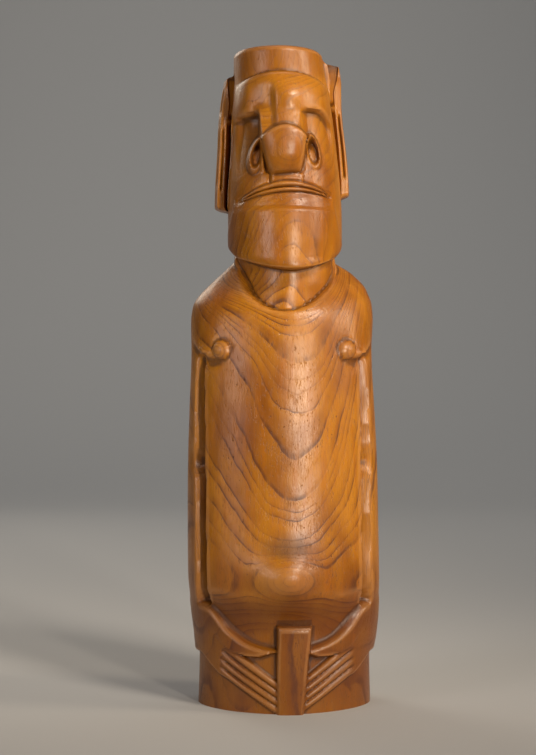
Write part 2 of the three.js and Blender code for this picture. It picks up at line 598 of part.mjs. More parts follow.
// A flat lid over the first or last row.
function closeEnd(row) {
  const edge = row === 0 ? 0 : ROWS - 1;
  const centre = positions.length / 3;
  positions.push(LEAN(LEVEL(row)), 0, LEVEL(row));
  let column = 0;
  while (column < COLUMNS) {
    const next = column + sizeAt(column, edge);
    const pair = [vertex(column, row), vertex(next, row)];
    triangles.push(centre, ...(row === 0 ? pair.reverse() : pair));
    column = next;
  }
}

for (const cell of cells()) fillCell(cell);
closeEnd(0);
closeEnd(ROWS);

const geometry = new THREE.BufferGeometry();
geometry.setAttribute('position', new THREE.Float32BufferAttribute(positions, 3));
geometry.setIndex(triangles);
geometry.computeVertexNormals();

const wood = new THREE.MeshStandardMaterial({ color: 0x8a4a1c, roughness: 0.38, metalness: 0 });
const figure = new THREE.Mesh(geometry, wood);
figure.name = 'moai_figure';

const group = new THREE.Group();
group.add(figure);

export default group;
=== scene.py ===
"""A standing moai figure carved from one block of orange-brown hardwood, oiled and polished by hand.

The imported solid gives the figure's place and size. Its finely carved skin is made here from the same
cross-sections and carved features, closely enough set for the lips, nostrils, fingers and ear folds
to be cut cleanly, and it gets a wood that runs through the block, so that the growth rings come out
on the surface as they do on a real carving.
"""
import math

import bpy
import numpy as np
from bpy.props import FloatProperty, FloatVectorProperty, IntProperty, PointerProperty
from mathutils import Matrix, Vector


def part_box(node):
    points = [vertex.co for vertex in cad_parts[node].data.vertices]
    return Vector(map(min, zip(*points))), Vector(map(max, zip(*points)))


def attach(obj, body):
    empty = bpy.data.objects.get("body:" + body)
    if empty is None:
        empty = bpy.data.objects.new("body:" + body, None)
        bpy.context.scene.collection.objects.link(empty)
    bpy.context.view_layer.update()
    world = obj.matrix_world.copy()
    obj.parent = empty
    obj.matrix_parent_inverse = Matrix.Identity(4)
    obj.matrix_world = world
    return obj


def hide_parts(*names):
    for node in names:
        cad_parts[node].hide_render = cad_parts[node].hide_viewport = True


bl_info = {
    "name": "Carved Moai Figure",
    "version": (1, 0, 0),
    "blender": (4, 5, 0),
    "location": "3D View > Sidebar > Moai",
    "description": "Builds a carved wooden moai figure and a plain studio around it",
    "category": "Object",
}

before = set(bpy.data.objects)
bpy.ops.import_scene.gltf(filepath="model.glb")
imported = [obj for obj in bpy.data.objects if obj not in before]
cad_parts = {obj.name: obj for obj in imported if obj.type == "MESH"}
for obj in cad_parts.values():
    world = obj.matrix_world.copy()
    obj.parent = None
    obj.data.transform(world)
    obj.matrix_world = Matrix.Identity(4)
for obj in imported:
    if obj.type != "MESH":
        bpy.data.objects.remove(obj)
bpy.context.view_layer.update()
NODE = "moai_figure"
LOW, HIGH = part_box(NODE)
HEIGHT = 400.0  # the carving is described in millimetres, on a figure of this height
MM = (HIGH.z - LOW.z) / HEIGHT

# ---------- Places of the carved features, in mm ----------
BAND_Z = 384.3
BROW_Z = 359.8
NOSTRIL_Z = 333.8
MOUTH_Z = 313.2
CHIN_Z = 264.2
NECKLINE_Z = 239.4
KNOB_Z = 216.6
ELBOW_Z = 149.0
NAVEL_Z = 81.0
LOINCLOTH_TOP_Z = 52.6
FACE_OFFSET = -1.7
CHIN_HALF = 35.0
MOUTH_HALF = 27.0
FACE_TILT = 0.05
NOSTRIL_X = 17.6
NOSTRIL_HALF_WIDTH = 4.1
NOSTRIL_HALF_HEIGHT = 9.0
KNOB_X = 37.4
ARM_X = 50.9
ARM_GROOVE_DEPTH = 9.5
FINGER_START_X = 9.4
FINGER_Z = (18.6, 13.6, 8.7, 4.0)
FINGER_SLOPE = (0.675, 0.665, 0.65, 0.64)
FINGER_DEPTH = 2.0
EAR_LIFT = 4.2
EAR_BAR_Z = 362.9
EAR_FROM = math.radians(80)
EAR_TO = math.radians(124)


# ---------- Small helpers ----------
def clamp(x, low=0.0, high=1.0):
    return np.minimum(np.maximum(x, low), high)


def mix(a, b, t):
    return a + (b - a) * t


def bell(x, width):
    return np.exp(-((x / width) ** 2))


def dome(x):
    return np.sqrt(clamp(1 - x * x))


def ramp(start, end, x):
    t = clamp((x - start) / (end - start))
    return t * t * (3 - 2 * t)


def curve(*stations):
    """A smooth line through (place, value) stations that never swings past them."""
    at, value = np.array(stations, float).T
    gap = np.diff(at)
    rise = np.diff(value) / gap
    slope = np.concatenate([rise[:1], np.zeros(len(at) - 2), rise[-1:]])
    for i in range(1, len(at) - 1):
        if rise[i - 1] * rise[i] > 0:
            before = 2 * gap[i] + gap[i - 1]
            after = gap[i] + 2 * gap[i - 1]
            slope[i] = (before + after) / (before / rise[i - 1] + after / rise[i])

    def line(place):
        p = np.clip(place, at[0], at[-1])
        i = np.clip(np.searchsorted(at, p, side="right") - 1, 0, len(gap) - 1)
        t = (p - at[i]) / gap[i]
        u = 1 - t
        ends = value[i] * u * u * (1 + 2 * t) + value[i + 1] * t * t * (3 - 2 * t)
        return ends + gap[i] * t * u * (slope[i] * u - slope[i + 1] * t)

    return line


def level(value):
    """A line that stays at one value."""
    return lambda place: value + 0 * place


# ---------- Cross-sections of the block ----------
class Form:
    """Half width, front depth, back depth and squareness of the block at each height."""

    def __init__(self, half, front, back, power, back_power=2.2):
        self.half = half
        self.front = front
        self.back = back
        self.power = power
        self.back_power = back_power

    def radius(self, angle, z, front_z=None):
        across = np.abs(np.sin(angle))
        ahead = np.cos(angle)
        depth = np.where(ahead > 0, self.front(z if front_z is None else front_z), self.back(z))
        power = np.where(ahead > 0, self.power(z), self.back_power)
        return ((across / self.half(z)) ** power + (np.abs(ahead) / depth) ** power) ** (-1 / power)


TORSO = Form(
    half=curve((0, 53), (30, 53), (45, 54.5), (62, 58), (80, 59.2), (120, 59), (150, 58.5), (180, 57.3),
               (217, 55.8), (235, 56.3), (244, 55.4), (254, 50.2), (264, 40.5), (274, 28), (280, 24),
               (400, 24)),
    front=curve((0, 43), (30, 42), (45, 41), (56, 43), (64, 46.5), (74, 49.2), (86, 49.8), (105, 48.6),
                (130, 47.3), (160, 46.8), (200, 46), (225, 44.2), (238, 41.3), (247, 36.3), (258, 26.5),
                (270, 13), (280, 5), (400, 5)),
    back=curve((0, 40), (60, 41.5), (100, 40), (150, 38.5), (200, 39.5), (235, 38), (250, 34), (262, 30),
               (272, 26.5), (285, 24), (400, 24)),
    power=curve((0, 1.85), (40, 1.9), (70, 1.95), (200, 1.95), (240, 1.9), (256, 1.85), (400, 1.85)),
)
LOW_BELLY = Form(
    half=curve((0, 46), (45, 48.5), (62, 52), (80, 59.2), (400, 59.2)),
    front=TORSO.front,
    back=TORSO.back,
    power=lambda z: TORSO.power(z) + 0.1,
)
GROUND = Form(curve((0, 53.2), (30, 52.6), (62, 52.6)), curve((0, 42.8), (62, 42.4)), TORSO.back, level(1.8))
HANDS = Form(
    half=curve((0, 54.6), (28, 55), (40, 56.4), (62, 58.6), (80, 59.2)),
    front=curve((0, 44.6), (20, 45.2), (40, 46.4), (62, 48)),
    back=TORSO.back,
    power=level(1.85),
)
NECK = Form(
    half=curve((230, 33), (250, 32.2), (265, 31.2), (280, 30.6), (400, 30.6)),
    front=curve((230, 40), (241, 38.6), (262, 36.6), (290, 36), (400, 36)),
    back=curve((230, 30), (262, 28), (275, 25.5), (300, 26), (400, 26)),
    power=level(1.75),
    back_power=2.1,
)
HEAD = Form(
    half=curve((255, 34.2), (270, 34.8), (283, 35.2), (300, 35.2), (310, 34.8), (341, 32.3), (364, 30.6),
               (381, 29), (400, 27.1)),
    front=curve((255, 48.5), (275, 47.6), (299, 46), (302.5, 44), (306, 43.6), (312, 43.8), (318, 42.8),
                (330, 40.5), (345, 38.5), (362, 40.2), (368, 39.8), (374, 38.4), (379, 36.2), (382.4, 33.8),
                (384.3, 31.4), (400, 30.8)),
    back=curve((255, 24), (275, 25.5), (300, 28), (340, 30), (375, 29.5), (400, 27.5)),
    power=curve((255, 1.85), (300, 1.95), (320, 2.1), (362, 2.15), (384, 1.95), (400, 1.9)),
    back_power=2.6,
)
# How far the middle of the figure wanders from the upright axis.
LEAN = curve((0, 0.3), (30, 0.4), (45, 0.9), (60, 0.5), (80, -0.2), (150, -0.9), (217, -1.5), (242, -1),
             (250, 0), (258, 1.7), (264, 1.8), (272, 0), (284, 0.6), (300, 0.5), (341, 0), (364, -1.4),
             (381, -2.3), (400, -4))
# How far the carved lines have risen, or fallen below 0, at the sides of the front.
SAG = curve((0, 0), (200, 0), (239, 12), (252, 10.5), (264, 9), (268, 8), (300, -5), (309, -8.6), (317, -9),
            (323, -6), (346, 0), (400, 0))


# ---------- Torso and arms ----------
def navel(x, z):
    return 8.2 * bell(x - 0.5, 15.5) * bell(z - NAVEL_Z, 12.5)


def shoulder_mass(across, z, ahead):
    """The shoulder masses end below in a rolled edge that curls into a knob."""
    turned = ramp(0.08, 0.55, ahead)
    facing = ramp(0, 0.25, ahead)
    edge = KNOB_Z - 4.2 + 10 * clamp((across - 43) / 12.2) ** 1.7
    above = z - edge
    mass = ramp(-1, 1.2, above) * np.exp(-np.maximum(above, 0) / 13) * ramp(33, 43.5, across)
    relief = 2.6 * mass * turned * (1 - ramp(228, 246, z))
    relief += 1.3 * bell(above - 1.6, 1.7) * ramp(41, 45, across) * turned
    sideways = (across - KNOB_X) / 5.2
    upwards = (z - KNOB_Z) / 5.9
    from_knob = np.hypot(sideways, upwards)
    relief = np.maximum(relief, 3.7 * dome(from_knob) ** 1.3 * facing)
    relief -= 0.5 * bell(from_knob - 1.12, 0.12) * ramp(0.1, 0.7, upwards - 0.5 * sideways) * facing
    relief -= 1.3 * bell(above + 3.5, 3.5) * ramp(36, 44, across) * (1 - ramp(54, 58, across)) * facing
    return relief


def arm_groove(across, side, z, ahead):
    """A deep groove parts each arm from the torso, with a small notch at the elbow."""
    notch = np.maximum(0, 1 - np.abs(z - ELBOW_Z) / 9.5)
    middle = ARM_X - np.where(side > 0, 1.8, 0)
    opening = mix(0.35, 1, ramp(214, 180, z))
    out = across - middle
    torso_wall = ramp(-3, -2.1, out)
    arm_edge = 0.3 + 2.3 * opening + 2.2 * notch
    arm_wall = 1 - ramp(-0.9, 0.6, out - arm_edge)
    along = ramp(215, 209, z) * ramp(59, 64.5, z) * ramp(0.05, 0.2, ahead)
    groove = ARM_GROOVE_DEPTH * mix(0.45, 1, opening) * np.where(out < 0, torso_wall, arm_wall) * along
    return -groove - 2 * notch * bell(out - 4, 3.2) * ramp(0, 0.25, ahead)


def back_lines(degrees, z):
    """Behind, a shallow line marks each arm and the spine."""
    arm = 1.8 * bell(degrees - 122, 3.2) * ramp(232, 215, z) * ramp(30, 40, z)
    spine = 1.3 * bell(degrees - 180, 5.5) * ramp(246, 225, z) * ramp(12, 40, z)
    return -arm - spine


def torso_radius(angle, side, degrees, z):
    ahead = np.cos(angle)
    facing = ramp(0, 0.25, ahead)
    radius = TORSO.radius(angle, z)
    x = radius * np.sin(angle)
    across = np.abs(x)
    radius = radius + navel(x, z) * facing
    radius += shoulder_mass(across, z, ahead)
    radius += arm_groove(across, side, z, ahead)
    radius += back_lines(degrees, z)
    belly = LOW_BELLY.radius(angle, z) + navel(x, z) * facing
    below = (1 - ramp(70, 80, z)) * (1 - ramp(49.3, 51.3, across)) * facing
    return mix(radius, np.minimum(radius, belly), below)


# ---------- Hands ----------
HAND_CREST = curve((0, 36.2), (9, 36.4), (15, 37.4), (20, 38.6), (27, 41.2), (34, 45.4), (38, 48.6),
                   (42.4, 54), (46.7, 59), (52, 62.3), (60, 63.5))
THUMB_UNDER = curve((0, 37), (8, 36.7), (13, 35.5), (18.5, 33.8), (24, 33.6), (28, 34.4), (33, 35.9),
                    (38, 38.8), (43, 45), (60, 60))


def finger_number(across, z):
    """0 on the middle of the first finger, 3 on the middle of the last."""
    first, second, third, fourth = (
        height + slope * (across - FINGER_START_X) for height, slope in zip(FINGER_Z, FINGER_SLOPE)
    )
    upper = (first - z) / (first - second)
    middle = 1 + (second - z) / (second - third)
    lower = 2 + (third - z) / (third - fourth)
    return np.where(z > second, upper, np.where(z > third, middle, lower))


def hand_radius(angle, side, z, torso):
    ground = GROUND.radius(angle, z)
    hand = HANDS.radius(angle, z)
    across = np.abs(hand * np.sin(angle))
    finger = finger_number(across, z)
    on_fingers = ramp(-0.62, -0.4, finger) * (1 - ramp(3.42, 3.66, finger))
    rounding = 1 - np.sqrt(np.abs(np.cos(np.pi * finger)))
    knuckles = 1 - ramp(37, 43, across - 2.6 * finger)
    radius = mix(ground, hand - FINGER_DEPTH * rounding * knuckles, on_fingers)
    spread = across - FINGER_START_X
    low_edge = FINGER_Z[3] - 2.5 + (FINGER_SLOPE[3] - 0.015) * spread + 4.4 * ramp(40, 54, across)
    palm = mix(ground, hand, ramp(-0.8, 0.8, z - np.minimum(low_edge, 32.5)))
    radius = mix(radius, palm, ramp(37, 42, across))
    thumb = ramp(-0.7, 0.7, z - THUMB_UNDER(across)) * (1 - ramp(41, 47, across))
    radius = mix(radius, hand + 0.3, thumb)
    crest = HAND_CREST(across) + np.where(side > 0, 0.6, 0)
    slope = 4.2 + np.where(side > 0, 3.3, 0.8) * bell(across - 39, 6)
    return mix(radius, torso, ramp(0, 1, (z - crest + 0.6) / slope))


def foot_radius(angle, degrees, z, torso):
    """Beside and behind the hands the block is stepped in above the foot."""
    stepped = mix(GROUND.radius(angle, z), HANDS.radius(angle, z), ramp(31.5, 33.5, z))
    radius = mix(stepped, GROUND.radius(angle, z), ramp(112, 130, degrees))
    return mix(radius, torso, ramp(58, 70, z))


def loincloth(x, z, depth, facing):
    """A raised strip between the hands. It only comes forward, so its sides stay upright."""
    up = z / LOINCLOTH_TOP_Z
    half = mix(8, 10.3, up)
    out = np.abs(x - mix(1.3, 3.3, up))
    inside = (1 - ramp(0, 1, out - half + 0.5)) * (1 - ramp(-1, 0.2, z - LOINCLOTH_TOP_Z)) * facing
    from_top = clamp((z - LOINCLOTH_TOP_Z + 3.4) / 3.4)
    face = mix(45.8, 49.2, up) - 0.01 * out**2 - 2.6 * (1 - dome(from_top)) - 0.9 * bell(out - half, 1)
    return inside * (face - depth)


# ---------- Neck ----------
def necked_radius(angle, degrees, z, body):
    ahead = np.cos(angle)
    plain = NECK.radius(angle, z)
    neck = plain - 0.1 * np.maximum(-plain * np.sin(angle) - 8.5, 0) * clamp(ahead)
    across = np.abs(neck * np.sin(angle))
    swoop = 0.0222 * across**2 + 1.28e-5 * across**4 + 5 * clamp((across - 27.4) / 2.2) ** 2
    steepness = np.hypot(1, 0.0444 * across + 5.12e-5 * across**3)
    past = (z - NECKLINE_Z - swoop) / steepness
    collar = np.maximum(body, neck + 1.5 * ramp(0.02, 0.3, ahead))
    crack = mix(0.9, 0.5, ramp(-6, 12, neck * np.sin(angle))) * ramp(-0.1, 0.2, ahead)
    cut = mix(collar, neck, ramp(-0.7, 0.7, past)) - crack * bell(past - 0.8, 0.7)
    nape = np.maximum(neck, mix(body, neck, ramp(244, 272, z)))
    return np.where(z < 236, body, mix(cut, nape, ramp(92, 125, degrees)))


# ---------- Head ----------
def chin_edge(x):
    across = np.minimum(np.abs(x), CHIN_HALF)
    return CHIN_Z + 6.6 * (across / 28) ** 2 + 4.5 * clamp((across - 28) / 7) ** 2


def eye_socket(x, z, flank):
    """Broad, flat sockets, cut in under the brow and rising to the cheek below. The right one is
    rounded at its outer corner."""
    rightward = ramp(-10, 10, x)
    from_brow = BROW_Z + FACE_TILT * x - z
    from_side = mix(30.6, 29.6, rightward) - np.abs(x)
    corner = mix(3.5, 12, rightward)
    inside = corner - np.hypot(np.maximum(corner - from_brow, 0), np.maximum(corner - from_side, 0))
    deepest = mix(5.8, 4.6, rightward) + 2 * bell(x + 19.5, 4.5)
    depth = deepest * (1 - clamp(from_brow / 40)) ** 1.25
    return depth * ramp(-0.8, 2.2, inside) * flank


BRIDGE_FRONT = curve((330, 45.2), (345, 45.4), (350, 44.2), (355, 43.4), (362, 42.4), (370, 40.6))
NOSE_HALF = curve((320, 9.2), (326, 10.6), (332, 12.2), (338, 13.5), (343, 15), (350, 17))
NOSE_FRONT = curve((320.5, 44.6), (322.5, 47), (326, 49.6), (332, 51.8), (338, 52.4), (344, 51.9),
                   (350, 50.4))


def nose(x, z, start, flank, beside_bridge):
    """The ball of the nose under an arched hood, which runs out on each side into a thin rim that
    curls round a nostril."""
    off = x - FACE_OFFSET
    z = z - FACE_TILT * off
    across = np.abs(off)
    bridge = BRIDGE_FRONT(z) - 0.012 * beside_bridge**2
    depth = mix(start, np.maximum(bridge, start), (1 - flank) * (1 - ramp(356, 366, z)) * ramp(322, 332, z))
    # The left side of the bridge steps back, from the forehead down to the hood.
    depth -= 3.2 * ramp(-4.2, -9, x) * ramp(-30, -13, x) * ramp(380, 368, z) * ramp(344, 355, z)
    arch = 349.6 - 0.033 * np.minimum(across, 17) ** 2
    out = across / NOSE_HALF(z)
    ball = NOSE_FRONT(z) - 0.022 * off**2 - 4.6 * (1 - np.sqrt(1 - clamp(out) ** 4))
    on_ball = (1 - ramp(0.9, 1.02, out)) * ramp(0.9, -0.9, z - arch) * ramp(320.4, 322.8, z)
    upwards = (z - NOSTRIL_Z) / NOSTRIL_HALF_HEIGHT
    sideways = (across - NOSTRIL_X + 0.9 * clamp(upwards, -1, 1)) / NOSTRIL_HALF_WIDTH
    from_nostril = np.hypot(sideways, upwards)
    turn = np.degrees(np.arctan2(upwards, sideways))
    hood = ramp(10, 80, turn) * (1 - ramp(130, 178, turn))
    rim = 37 - 2 * clamp(sideways, -1, 1) + 6 * hood
    wing = 1 - ramp(0.98, 1.36, from_nostril)
    depth = mix(depth, np.maximum(depth, rim), wing * (1 - on_ball))
    hollow = 1 - ramp(0.6, 0.98, from_nostril)
    depth = mix(depth, 33.2 - 2.2 * sideways - 1.4 * upwards, hollow * (1 - on_ball))
    crack_half = mix(1.3, 0.4, ramp(322, 338, z))
    crack = bell(across - NOSE_HALF(z) - 0.3 - crack_half / 2, crack_half) * ramp(321, 324, z)
    crack_depth = mix(3.2, 1, ramp(-8, 8, off)) * (1 - ramp(334, 340, z))
    return mix(depth - crack_depth * crack * (1 - on_ball), ball, on_ball)


def mouth(x, z):
    """Thin, downturned lips that close to a drilled corner on each side."""
    off = np.abs(x - FACE_OFFSET)
    bend = (off / 28) ** 2
    z = z - FACE_TILT * (x - FACE_OFFSET)
    top = MOUTH_Z + 3.3 - 9.0 * bend
    gap = MOUTH_Z - 6.2 * bend
    bottom = MOUTH_Z - 2.8 - 3.9 * bend
    upper = dome((z - (top + gap) / 2) / np.maximum((top - gap) / 2, 0.5))
    lower = dome((z - (gap + bottom) / 2) / np.maximum((gap - bottom) / 2, 0.5))
    lines = 1.0 * bell(z - gap, 0.55) + 0.8 * bell(z - top - 0.6, 0.7) + 0.5 * bell(z - bottom + 0.4, 0.6)
    corner = bell(np.hypot((off - MOUTH_HALF + 0.4) / 2, (z - MOUTH_Z + 5.6) / 2.3), 1)
    within = 1 - ramp(MOUTH_HALF - 3, MOUTH_HALF + 0.5, off)
    return (1.9 * upper + 1.7 * lower - lines) * within - 1.9 * corner


def philtrum(x, z):
    panel = (1 - ramp(9.2, 10.4, np.abs(x + 0.9))) * ramp(312, 317, z) * (1 - ramp(320.5, 322.5, z))
    crack = bell(x + 10.6, 0.8) * ramp(315, 317, z) * (1 - ramp(322, 325, z))
    return 1.3 * panel - 1.6 * crack


def head_form(angle, z):
    """Radius of the head, how far the face stands forward of it, and the height of the jaw's edge."""
    ahead = np.cos(angle)
    facing = ramp(0, 0.25, ahead)
    bow = 8.2 * clamp(np.abs(HEAD.half(z) * np.sin(angle)) / 30) ** 2
    forehead_z = z + bow * ramp(360, 378, z)
    plain = HEAD.radius(angle, z, forehead_z)
    x = plain * np.sin(angle)
    across = np.abs(x)
    edge = np.where(ahead < 0, chin_edge(CHIN_HALF), chin_edge(x))
    relief = -1.3 * np.exp(-clamp((z - edge) / 1.3, 0, 9))
    ledge = (1 - ramp(-0.6, 0.2, forehead_z - BAND_Z)) * ramp(340, 380, z) * (1 - ramp(20, 30, across))
    relief += 1.9 * ledge * facing
    off = np.abs(x - FACE_OFFSET)
    chin_side = 30 + 6 * clamp((306 - z) / 24) ** 1.3
    chin = (1 - ramp(-1.2, 1.2, off - chin_side)) * ramp(262, 266, z) * (1 - ramp(303, 309, z))
    relief += 0.9 * chin * facing
    from_bridge = x + 3.2
    beside_bridge = np.abs(from_bridge)
    flank = np.where(from_bridge < 0, ramp(11.5, 15.5, beside_bridge), ramp(8, 18, beside_bridge))
    relief -= eye_socket(x, z, flank) * facing
    relief += 1.6 * bell(x - 2, 8) * ramp(379, 366, z) * ramp(352, 362, z) * facing
    radius = plain + relief
    start = radius * ahead
    depth = nose(x, z, start, flank, beside_bridge) + (philtrum(x, z) + mouth(x, z)) * facing
    return radius, (depth - start) * ramp(0.1, 0.25, ahead), edge


# ---------- Ears ----------
EAR_OUT = curve((300, 41.3), (312, 41.2), (345, 39.2), (368, 37.2), (394, 35))
EAR_RIM = curve((300, 5), (330, 4.8), (362, 4.3), (372, 4.6), (382, 2.6), (388, 1.2), (394, 0.8))
# How far both ears stand to the right of the head's leaning middle.
EAR_SHIFT = curve((300, -1), (350, -1), (366, -0.2), (378, 1), (386, 2.2), (400, 2.6))


def ear_point(fold, z, level_z):
    """Seen from above, the skin of the head folds into a slot, round the front edge of the ear and
    back along its outer face. fold runs from 0 in front of the slot to 1 behind the ear."""
    out = EAR_OUT(level_z)
    rim_in = out - EAR_RIM(level_z)
    slot = HEAD.half(z) - 0.9
    shallow = ramp(363, 369, level_z)
    start = HEAD.radius(np.full_like(z, EAR_FROM), z)
    end = HEAD.radius(np.full_like(z, EAR_TO), z)
    corners = (
        (0, start * math.sin(EAR_FROM), start * math.cos(EAR_FROM)),
        (2, slot - 0.4, mix(-7.5, -2, shallow)),
        (3, slot + 0.5, mix(-9.4, -3.4, shallow)),
        (5, rim_in - 0.2, -3),
        (6, rim_in + 0.35, -2),
        (10, out - 0.4, -2.8),
        (13, out + 1.1, -13.5),
        (14, out + 0.3, -15.4),
        (16, end * math.sin(EAR_TO), end * math.cos(EAR_TO)),
    )
    x = np.zeros_like(z)
    depth = np.zeros_like(z)
    for (start_at, start_x, start_depth), (end_at, end_x, end_depth) in zip(corners, corners[1:]):
        here = (fold * 16 >= start_at) & (fold * 16 <= end_at)
        t = (fold * 16 - start_at) / (end_at - start_at)
        x = np.where(here, mix(start_x, end_x, t), x)
        depth = np.where(here, mix(start_depth, end_depth, t), depth)
    on_edge = ramp(0.38, 0.42, fold) * (1 - ramp(0.58, 0.62, fold))
    along = ramp(319, 322, level_z) * (1 - ramp(356, 361, level_z))
    depth -= 2 * on_edge * bell(fold - 0.5, 0.04) * along
    bar = bell(level_z - EAR_BAR_Z, 1.7) * ramp(0.02, 0.1, fold) * (1 - ramp(0.4, 0.48, fold))
    depth = mix(depth, -0.8 - 2 * fold, bar)
    on_face = ramp(0.64, 0.68, fold) * (1 - ramp(0.77, 0.81, fold))
    flute = ramp(321, 326, level_z) * (1 - ramp(355, 360, level_z)) * bell(fold - 0.72, 0.035)
    shell = 1 - ramp(0.7, 1, np.hypot((fold - 0.72) / 0.08, (level_z - 376) / 9.5))
    return x - 1.3 * on_face * (flute + shell), depth


# ---------- The whole surface ----------
def surface(angle, fold, in_ear, rise):
    """Points of the carved skin, in mm, for angles round the axis and levels on the centre line."""
    side = np.where(np.sin(angle) < 0, -1.0, 1.0)
    ahead = np.cos(angle)
    facing = ramp(0, 0.25, ahead)
    degrees = np.abs(np.degrees(angle))
    reach = np.where(ahead < 0, CHIN_HALF, CHIN_HALF * np.abs(np.sin(angle)))
    z = clamp(rise + SAG(rise) * (reach / 28) ** 2 * ramp(-1, -0.3, ahead), 0, HEIGHT)

    body = torso_radius(angle, side, degrees, z)
    low = np.where(ahead > 0, hand_radius(angle, side, z, body), foot_radius(angle, degrees, z, body))
    radius = mix(low, body, ramp(66, 72, z))
    forward = loincloth(radius * np.sin(angle), z, radius * ahead, facing)
    radius = necked_radius(angle, degrees, z, radius)

    head_radius, face_forward, edge = head_form(angle, z)
    on = ramp(-0.6, 0.6, z - edge)
    nape = mix(radius, head_radius, ramp(262, 292, z))
    jaw = np.where(z > edge - 3, mix(radius, head_radius, on), radius)
    headed = mix(jaw, nape, np.where(ahead < 0, ramp(115, 150, degrees), 0))
    radius = np.where(z > 262, headed, radius)
    forward = forward + np.where(z > 262, on * face_forward, 0)
    x = radius * np.sin(angle)
    depth = radius * ahead + forward

    level_z = z - EAR_LIFT * side
    ear_x, ear_depth = ear_point(fold, z, level_z)
    lobe = dome(1 - clamp((level_z - 307) / 3.6))
    grown = np.where(in_ear, lobe * (1 - ramp(389.6, 391.4, level_z)), 0)
    x = mix(x, side * ear_x + EAR_SHIFT(z), grown)
    depth = mix(depth, ear_depth, grown)
    top_edge = 1 - 0.05 * (1 - dome(clamp((z - 398.6) / 1.4)))
    return x * top_edge + LEAN(z), -depth * top_edge, z


ROW_LEVEL = curve((0, 0), (75, 64), (125, 205), (157, 239), (179, 262), (199, 272), (221, 300), (251, 320),
                  (293, 352), (317, 380), (325, 386), (334, 400))


def columns(front, ear, back):
    """Angles round the figure from the back, round the front and to the back again, and the fold."""
    middle_out = np.linspace(0, 1, front + 1)
    out = np.concatenate([
        EAR_FROM * mix(middle_out, middle_out**2, 0.22),
        np.linspace(EAR_FROM, EAR_TO, ear + 1)[1:],
        np.linspace(EAR_TO, math.pi, back + 1)[1:],
    ])
    fold = np.concatenate([np.full(front, -1.0), np.linspace(0, 1, ear + 1), np.full(back, -1.0)])
    angle = np.concatenate([-out[::-1], out[1:-1]])
    return angle, np.concatenate([fold[::-1], fold[1:-1]])


def hollowness(points):
    """How far each point lies in a carved hollow (1) or on a worn ridge (-1)."""
    def around(step):
        rows = np.pad(points, ((step, step), (0, 0), (0, 0)), mode="edge")
        mean = rows[: -2 * step] + rows[2 * step:]
        mean = mean + np.roll(points, step, axis=1) + np.roll(points, -step, axis=1)
        return mean / 4 - points

    along = np.roll(points, -1, axis=1) - np.roll(points, 1, axis=1)
    up = np.gradient(points, axis=0)
    normal = np.cross(along, up)
    normal /= np.maximum(np.linalg.norm(normal, axis=2, keepdims=True), 1e-9)
    fine = (around(1) * normal).sum(axis=2)
    broad = (around(3) * normal).sum(axis=2)
    return np.clip(fine / 0.3 + broad / 1.6, -1, 1)


# ---------- Building with operators ----------
def nothing_selected():
    if bpy.context.object and bpy.context.object.mode != "OBJECT":
        bpy.ops.object.mode_set(mode="OBJECT")
    bpy.ops.object.select_all(action="DESELECT")


def carve_figure(front, ear, back, rows):
    """A sheet of small squares is wrapped into the carved skin, closed at its seam and at both ends."""
    angle, fold = columns(front, ear, back)
    around = len(angle)
    rise = ROW_LEVEL(np.linspace(0, 334, rows + 1))
    angles, rises = np.meshgrid(angle, rise)
    folds = np.broadcast_to(fold, angles.shape)
    points = np.stack(surface(angles, np.maximum(folds, 0), folds >= 0, rises), axis=2)
    hollow = hollowness(points)
    points = np.clip(points * MM, LOW, HIGH)

    nothing_selected()
    bpy.ops.mesh.primitive_grid_add(x_subdivisions=around, y_subdivisions=rows, size=1)
    figure = bpy.context.object
    figure.name = "carved_figure"
    mesh = figure.data
    mesh.name = "carved_figure"
    wrapped = np.concatenate([points, points[:, :1]], axis=1)
    mesh.vertices.foreach_set("co", wrapped.reshape(-1))
    marks = mesh.attributes.new("hollow", "FLOAT", "POINT")
    marks.data.foreach_set("value", np.concatenate([hollow, hollow[:, :1]], axis=1).reshape(-1))
    mesh.update()
    bpy.ops.object.mode_set(mode="EDIT")
    bpy.ops.mesh.select_all(action="SELECT")
    bpy.ops.mesh.remove_doubles(threshold=1e-7)
    bpy.ops.mesh.select_all(action="DESELECT")
    bpy.ops.mesh.select_mode(type="EDGE")
    bpy.ops.mesh.select_non_manifold()
    bpy.ops.mesh.fill_holes(sides=0)
    bpy.ops.mesh.select_all(action="SELECT")
    bpy.ops.mesh.normals_make_consistent(inside=False)
    bpy.ops.object.mode_set(mode="OBJECT")
    bpy.ops.object.shade_smooth_by_angle(angle=math.radians(48))
    return figure


# ---------- Shader maths ----------
class Value:
    """A node socket that takes part in sums: mask * 2 + 1 adds its Math nodes."""

    def __init__(self, tree, socket):
        self.tree = tree
        self.socket = socket

    def _math(self, operation, *values):
        return Shader(self.tree).node("ShaderNodeMath", {"operation": operation}, dict(enumerate(values)))[0]

    def __add__(self, other):
        return self._math("ADD", self, other)

    __radd__ = __add__

    def __mul__(self, other):
        return self._math("MULTIPLY", self, other)

    __rmul__ = __mul__

    def __sub__(self, other):
        return self._math("SUBTRACT", self, other)

    def __rsub__(self, other):
        return self._math("SUBTRACT", other, self)

    def __truediv__(self, other):
        return self._math("DIVIDE", self, other)

    def __pow__(self, power):
        return self._math("POWER", self, power)

    def fraction(self):
        return self._math("FRACT", self)

    def root(self):
        return self._math("SQRT", self)

    def at_least(self, other):
        return self._math("MAXIMUM", self, other)

    def at_most(self, other):
        return self._math("MINIMUM", self, other)


class Outputs:
    """A node's outputs by number or name, as Values."""

    def __init__(self, tree, node):
        self.tree = tree
        self.node = node

    def __getitem__(self, key):
        return Value(self.tree, self.node.outputs[key])


